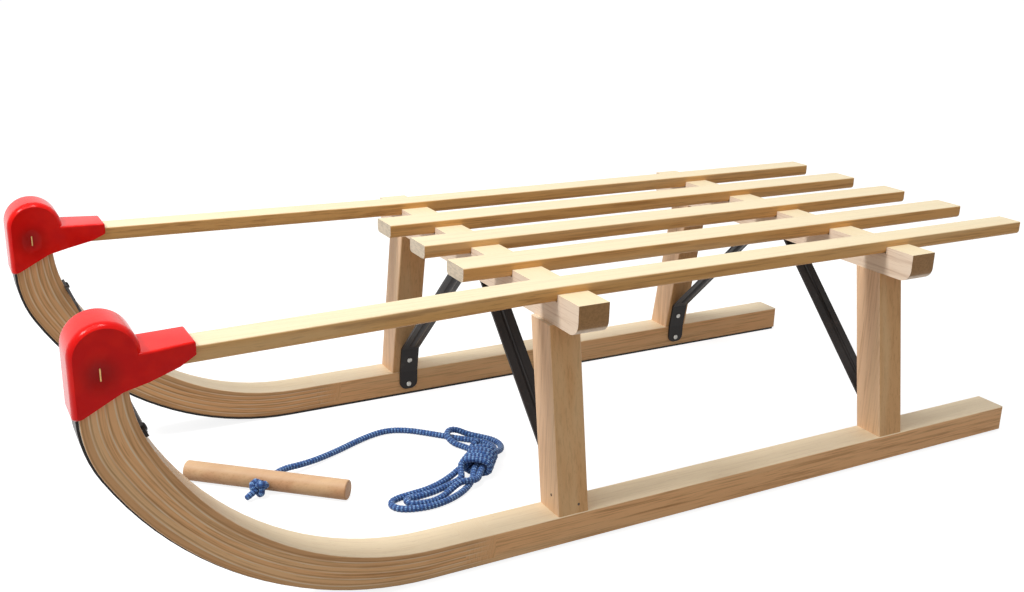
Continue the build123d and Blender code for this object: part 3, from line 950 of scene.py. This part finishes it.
def wide_shoe(side):
    """The steel shoe, drawn out sideways to the inner face of its runner."""
    name = f"runner_shoe_{side}"
    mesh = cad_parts[name].data.copy()
    wood_face = inner_edge(f"runner_{side}")
    shoe_edge = inner_edge(name)
    for vertex in mesh.vertices:
        if abs(vertex.co.y - shoe_edge) < ON_PLANE:
            vertex.co.y = wood_face + math.copysign(SHOE_EDGE_GAP, wood_face)
    shoe = add_piece(f"runner_shoe_wide_{side}", mesh)
    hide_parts(name)


for side in SIDES:
    wide_shoe(side)

# ------------------------------------------------------------------ screws, bolts and nails
HEAD_SPOKES = 48
HEAD_RINGS = 12
HEAD_SINK = 0.0006
# A cross recess: its arms' half width and reach as shares of the head's radius, how squarely
# its walls fall, and how much of its depth lies flat.
RECESS_ARM = 0.22
RECESS_REACH = 0.62
RECESS_SQUARENESS = 4
RECESS_FLATNESS = 1.6


def cross_recess(along, up, size):
    """How deep a cross recess is at a place in a screw's head, from 0 to 1."""
    arm = RECESS_ARM * size
    reach = RECESS_REACH * size

    def inside(value, limit):
        return max(0.0, 1 - (abs(value) / limit) ** RECESS_SQUARENESS)

    upright = inside(along, arm) * inside(up, reach)
    level = inside(up, arm) * inside(along, reach)
    return min(1.0, RECESS_FLATNESS * max(upright, level))


def add_head(bm, at, normal, radius, rise, recess):
    """A round domed head on a surface, with a cross recess when recess is above zero."""
    turn = Vector(normal).to_track_quat("Z", "Y").to_matrix()
    rings = []
    for ring in range(HEAD_RINGS + 1):
        share = ring / HEAD_RINGS
        spokes = 1 if ring == 0 else HEAD_SPOKES
        row = []
        for spoke in range(spokes):
            angle = 2 * math.pi * spoke / HEAD_SPOKES
            along = share * radius * math.cos(angle)
            up = share * radius * math.sin(angle)
            dome = rise * math.sqrt(max(0.0, 1 - share ** 3))
            height = dome - recess * cross_recess(along, up, radius)
            row.append(bm.verts.new(Vector(at) + turn @ Vector((along, up, height))))
        rings.append(row)
    sunk = turn @ Vector((0, 0, HEAD_SINK))
    foot = [bm.verts.new(vertex.co - sunk) for vertex in rings[-1]]
    for spoke in range(HEAD_SPOKES):
        following = (spoke + 1) % HEAD_SPOKES
        bm.faces.new((rings[0][0], rings[1][spoke], rings[1][following]))
        for near, far in zip(rings[1:], rings[2:]):
            bm.faces.new((near[spoke], far[spoke], far[following], near[following]))
        bm.faces.new((rings[-1][spoke], foot[spoke], foot[following], rings[-1][following]))
    bm.faces.new(reversed(foot))


def heads(name, places, radius, rise, recess, material):
    """Heads of screws, bolts or nails on one member, as one piece."""
    bm = bmesh.new()
    for at, normal in places:
        add_head(bm, at, normal, radius, rise, recess)
    bmesh.ops.recalc_face_normals(bm, faces=bm.faces)
    piece = add_drawn(name, bm)
    shade_smooth(piece.data)
    piece.data.materials.append(material)


# Two screws hold each brace's foot: one in the runner's inner face, one in the leaning post.
RUNNER_INNER_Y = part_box("runner_left")[0][1]
RUNNER_TOP_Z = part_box("post_front_left")[0][2]
PLATE_THICK = 0.0025
SCREW_LOW_Z = 0.014
SCREW_HIGH_Z = 0.045
POST_WIDTH = 0.034
post_low, post_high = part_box("post_front_left")
POST_LEAN = (post_high[1] - post_low[1] - POST_WIDTH) / (post_high[2] - post_low[2])
for end in ENDS:
    box_low, box_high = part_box(f"brace_{end}_left")
    middle_x = (box_low[0] + box_high[0]) / 2
    for side, sign in zip(SIDES, (1, -1)):
        inward = Vector((0, -sign, -POST_LEAN)).normalized()
        high_y = RUNNER_INNER_Y - POST_LEAN * (SCREW_HIGH_Z - RUNNER_TOP_Z) - PLATE_THICK / abs(inward.y)
        heads(
            f"brace_screws_{end}_{side}",
            [((middle_x, sign * (RUNNER_INNER_Y - PLATE_THICK), SCREW_LOW_Z), (0, -sign, 0)),
             ((middle_x, sign * high_y, SCREW_HIGH_Z), inward)],
            radius=0.0031, rise=0.0013, recess=0.0008, material=bright_zinc,
        )

# Nails through the left front post's foot: one in its front face, one in its outer face.
FRONT_NAIL_IN = 0.022
FRONT_NAIL_Z = 0.046
OUTER_NAIL_BACK = 0.0215
OUTER_NAIL_Z = 0.038
front_post_x = post_high[0]
outer_lean = Vector((0, 1, POST_LEAN)).normalized()
front_nail_y = RUNNER_INNER_Y + FRONT_NAIL_IN - POST_LEAN * (FRONT_NAIL_Z - RUNNER_TOP_Z)
outer_nail_y = RUNNER_INNER_Y + POST_WIDTH - POST_LEAN * (OUTER_NAIL_Z - RUNNER_TOP_Z)
heads(
    "post_nails_front_left",
    [((front_post_x, front_nail_y, FRONT_NAIL_Z), (1, 0, 0)),
     ((front_post_x - OUTER_NAIL_BACK, outer_nail_y, OUTER_NAIL_Z), outer_lean)],
    radius=0.0013, rise=0.0003, recess=0.0, material=dull_iron,
)

# Round-headed bolts that hold the front strap behind each horn.
STRAP_BOLT_IN = 0.0115
STRAP_END_LENGTH = 0.018
STRAP_FACE_LENGTH = 0.02
# A back face's normal points back by more than the first and sideways by less than the second.
STRAP_BACKWARD = -0.3
STRAP_SIDEWAYS = 0.1
strap_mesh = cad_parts["front_strap"].data
strap_high_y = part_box("front_strap")[1][1]


def is_back_face(polygon):
    """Whether a face of the strap's left end looks back and not to a side."""
    at_end = polygon.center.y > strap_high_y - STRAP_FACE_LENGTH
    backward = polygon.normal.x < STRAP_BACKWARD
    return at_end and backward and abs(polygon.normal.y) < STRAP_SIDEWAYS


end_points = [vertex.co for vertex in strap_mesh.vertices
              if vertex.co.y > strap_high_y - STRAP_END_LENGTH]
end_middle = sum(end_points, Vector()) / len(end_points)
back_face = max(filter(is_back_face, strap_mesh.polygons), key=lambda polygon: polygon.area)
strap_normal = back_face.normal.copy()
to_back = (back_face.center - end_middle).dot(strap_normal)
for side, sign in zip(SIDES, (1, -1)):
    at = end_middle + strap_normal * to_back
    at.y = sign * (strap_high_y - STRAP_BOLT_IN)
    heads(f"strap_bolt_{side}", [(at, strap_normal)],
          radius=0.0036, rise=0.0018, recess=0.0, material=black_paint)

# ------------------------------------------------------------------ floor, backdrop and light
FLOOR_RADIUS = 30.0
FLOOR_SEGMENTS = 64
FLOOR_DROP = 0.0002
FLOOR_GREY = 0.34
FLOOR_GLOW = 0.86
WORLD_LEVEL = 0.46


def seen_rays(tree):
    """1 for rays from the camera, also by way of gloss or glass, and 0 for those that only light."""
    rays = tree.nodes.new("ShaderNodeLightPath").outputs
    seen = rays["Is Camera Ray"]
    for kind in ("Is Glossy Ray", "Is Transmission Ray"):
        either = tree.nodes.new("ShaderNodeMath")
        either.operation = "MAXIMUM"
        tree.links.new(seen, either.inputs[0])
        tree.links.new(rays[kind], either.inputs[1])
        seen = either.outputs[0]
    return seen


def make_floor():
    """A floor that shows white and keeps a faint shadow."""
    graph = Graph("floor_white")
    tree = graph.tree
    glow = graph.node("ShaderNodeEmission")
    glow.inputs["Color"].default_value = WHITE
    graph.put(glow.inputs["Strength"], graph.times(seen_rays(tree), FLOOR_GLOW))
    graph.surface(
        Base_Color=(FLOOR_GREY, FLOOR_GREY, FLOOR_GREY, 1.0),
        Roughness=1.0,
        Specular_IOR_Level=0.0,
    )
    both = graph.node("ShaderNodeAddShader")
    tree.links.new(graph.shader.outputs[0], both.inputs[0])
    tree.links.new(glow.outputs[0], both.inputs[1])
    tree.links.new(both.outputs[0], tree.nodes["Material Output"].inputs["Surface"])
    mesh = bpy.data.meshes.new("floor")
    bm = bmesh.new()
    bmesh.ops.create_circle(bm, cap_ends=True, radius=FLOOR_RADIUS, segments=FLOOR_SEGMENTS)
    bm.to_mesh(mesh)
    bm.free()
    mesh.materials.append(graph.material)
    floor = bpy.data.objects.new("floor", mesh)
    floor.location.z = cad_bounds[0][2] - FLOOR_DROP
    bpy.context.scene.collection.objects.link(floor)


def make_world():
    """A white surround that lights the sled at a lower level than it shows."""
    world = bpy.data.worlds.new("studio")
    world.use_nodes = True
    bpy.context.scene.world = world
    tree = world.node_tree
    background = tree.nodes["Background"]
    strength = tree.nodes.new("ShaderNodeMapRange")
    tree.links.new(seen_rays(tree), strength.inputs["Value"])
    strength.inputs["To Min"].default_value = WORLD_LEVEL
    strength.inputs["To Max"].default_value = 1.0
    tree.links.new(strength.outputs[0], background.inputs["Strength"])
    background.inputs["Color"].default_value = WHITE


def area_light(name, at, aim, size, power):
    """A square soft light that looks at a point."""
    data = bpy.data.lights.new(name, "AREA")
    data.size = size
    data.energy = power
    light = bpy.data.objects.new(name, data)
    light.location = at
    light.rotation_euler = (Vector(aim) - Vector(at)).to_track_quat("-Z", "Y").to_euler()
    bpy.context.scene.collection.objects.link(light)


make_floor()
make_world()
area_light("top_light", at=(0.95, -0.1, 2.45), aim=(0.0, 0.0, 0.1), size=1.2, power=13.5)
area_light("rim_light", at=(0.22, -0.15, 2.3), aim=(0.1, 0.0, 0.1), size=0.40, power=12.0)
area_light("front_light", at=(1.95, -0.1, 2.25), aim=(0.0, 0.0, 0.1), size=0.5, power=36.0)

scene = bpy.context.scene
scene.view_settings.view_transform = "Standard"
